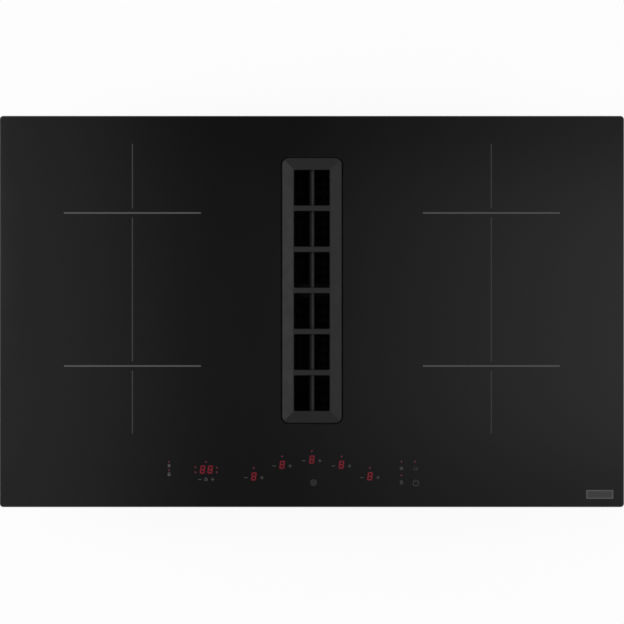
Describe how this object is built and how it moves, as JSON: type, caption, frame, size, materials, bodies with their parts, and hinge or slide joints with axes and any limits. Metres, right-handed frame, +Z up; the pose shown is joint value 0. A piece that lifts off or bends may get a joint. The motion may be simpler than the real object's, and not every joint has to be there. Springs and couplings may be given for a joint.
{
  "type": "downdraft induction cooktop",
  "caption": "Built-in induction cooktop with a black glass plate, a central cast downdraft grille over a lift-out grease filter and drip tray, and a scroll blower with a flat duct outlet.",
  "frame": {"origin": "middle of the glass plate, in the plane of the worktop that the rim seal rests on", "axes": "+Z up out of the glass, +X along the width to the cook's right, -Y towards the cook"},
  "size_m": [0.83, 0.52, 0.219],
  "materials": {
    "glass_ceramic": "polished opaque black glass-ceramic with a ground edge",
    "foam_seal": "closed-cell foam",
    "silicone": "soft silicone",
    "enamelled_cast_iron": "fine matt enamel",
    "collar_plastic": "fine matt",
    "filter_coating": "fine matt black coating on sheet steel",
    "filter_panel": "dark satin coating on slotted steel",
    "grip_plastic": "fine matt",
    "tray_plastic": "satin, easy to wipe",
    "galvanised": "zinc-coated sheet",
    "housing_plastic": "moulded, fine grain",
    "impeller_plastic": "moulded",
    "motor_steel": "zinc-plated",
    "shaft_steel": "ground",
    "stator_metal": "cast",
    "copper_litz": "varnished litz",
    "former_plastic": "glass-filled, natural",
    "ferrite": "sintered",
    "mica": "pressed mica",
    "sensor_plastic": "moulded",
    "aluminium_sheet": "mill finish",
    "spring_steel": "bright",
    "board_laminate": "green solder mask",
    "display_plastic": "dark lens",
    "contact_foam": "conductive foam",
    "fan_plastic": "moulded",
    "terminal_plastic": "moulded",
    "gland_nylon": "nylon",
    "zinc_steel": "zinc-plated",
    "fired_print": "fired enamel print on the glass",
    "display_light": "lit red segments and dots"
  },
  "bodies": {
    "root": {"glass_plate": "glass_ceramic", "rim_seal": "foam_seal", "collar_seal": "silicone", "intake_collar": "collar_plastic", "duct_seal": "silicone", "air_duct": "galvanised", "body_tray": "galvanised", "collector_housing": "housing_plastic", "blower_lower_casing": "housing_plastic", "blower_upper_casing": "housing_plastic", "suction_hood": "housing_plastic", "outlet_spigot": "housing_plastic", "motor_stator": "stator_metal", "blower_bushes": "silicone", "housing_screws": "zinc_steel", "mica_sheets": "mica", "ferrite_bars": "ferrite", "temperature_sensors": "sensor_plastic", "carrier_posts": "former_plastic", "carrier_springs": "spring_steel", "control_holder": "former_plastic", "control_board": "board_laminate", "display_modules": "display_plastic", "touch_pads": "contact_foam", "terminal_box": "housing_plastic", "terminal_cover": "housing_plastic", "terminal_block": "terminal_plastic", "cable_gland": "gland_nylon", "clamp_pivots": "zinc_steel", "coil_winding_front_left": "copper_litz", "coil_former_front_left": "former_plastic", "coil_winding_rear_left": "copper_litz", "coil_former_rear_left": "former_plastic", "coil_winding_front_right": "copper_litz", "coil_former_front_right": "former_plastic", "coil_winding_rear_right": "copper_litz", "coil_former_rear_right": "former_plastic", "coil_carrier_left": "aluminium_sheet", "power_board_left": "board_laminate", "heatsink_left": "aluminium_sheet", "cooling_fan_housing_left": "fan_plastic", "coil_carrier_right": "aluminium_sheet", "power_board_right": "board_laminate", "heatsink_right": "aluminium_sheet", "cooling_fan_housing_right": "fan_plastic"},
    "drip_tray_body": {"drip_tray": "tray_plastic"},
    "filter_body": {"filter_frame": "filter_coating", "filter_mesh": "filter_panel", "filter_handle": "grip_plastic"},
    "grille_body": {"grille": "enamelled_cast_iron", "grille_feet": "silicone"},
    "blower_wheel": {"impeller": "impeller_plastic", "motor_rotor": "motor_steel", "motor_shaft": "shaft_steel"},
    "cooling_wheel_left": {"cooling_fan_rotor_left": "fan_plastic"},
    "cooling_wheel_right": {"cooling_fan_rotor_right": "fan_plastic"},
    "clamp_body_front_left": {"clamp_front_left": "zinc_steel"},
    "clamp_body_rear_left": {"clamp_rear_left": "zinc_steel"},
    "clamp_body_front_right": {"clamp_front_right": "zinc_steel"},
    "clamp_body_rear_right": {"clamp_rear_right": "zinc_steel"}
  },
  "joints": [
    {"name": "drip_tray_lift", "type": "slide", "parent": "root", "child": "drip_tray_body", "axis": [0, 0, 1], "range_m": [0, 0.21]},
    {"name": "filter_lift", "type": "slide", "parent": "drip_tray_body", "child": "filter_body", "axis": [0, 0, 1], "range_m": [0, 0.075]},
    {"name": "grille_lift", "type": "slide", "parent": "filter_body", "child": "grille_body", "axis": [0, 0, 1], "range_m": [0, 0.05]},
    {"name": "blower_spin", "type": "hinge", "parent": "root", "child": "blower_wheel", "pos_m": [0.164, 0, -0.1605], "axis": [0, 0, 1], "continuous": true},
    {"name": "cooling_fan_spin_left", "type": "hinge", "parent": "root", "child": "cooling_wheel_left", "pos_m": [-0.34, 0.14, -0.04], "axis": [0, 0, 1], "continuous": true},
    {"name": "cooling_fan_spin_right", "type": "hinge", "parent": "root", "child": "cooling_wheel_right", "pos_m": [0.34, 0.14, -0.04], "axis": [0, 0, 1], "continuous": true},
    {"name": "clamp_swing_front_left", "type": "hinge", "parent": "root", "child": "clamp_body_front_left", "pos_m": [-0.376, -0.205, -0.0615], "axis": [0, 0, 1], "range_deg": [0, 90]},
    {"name": "clamp_swing_front_right", "type": "hinge", "parent": "root", "child": "clamp_body_front_right", "pos_m": [0.376, -0.205, -0.0615], "axis": [0, 0, -1], "range_deg": [0, 90]},
    {"name": "clamp_swing_rear_left", "type": "hinge", "parent": "root", "child": "clamp_body_rear_left", "pos_m": [-0.376, 0.205, -0.0615], "axis": [0, 0, -1], "range_deg": [0, 90]},
    {"name": "clamp_swing_rear_right", "type": "hinge", "parent": "root", "child": "clamp_body_rear_right", "pos_m": [0.376, 0.205, -0.0615], "axis": [0, 0, 1], "range_deg": [0, 90]}
  ]
}
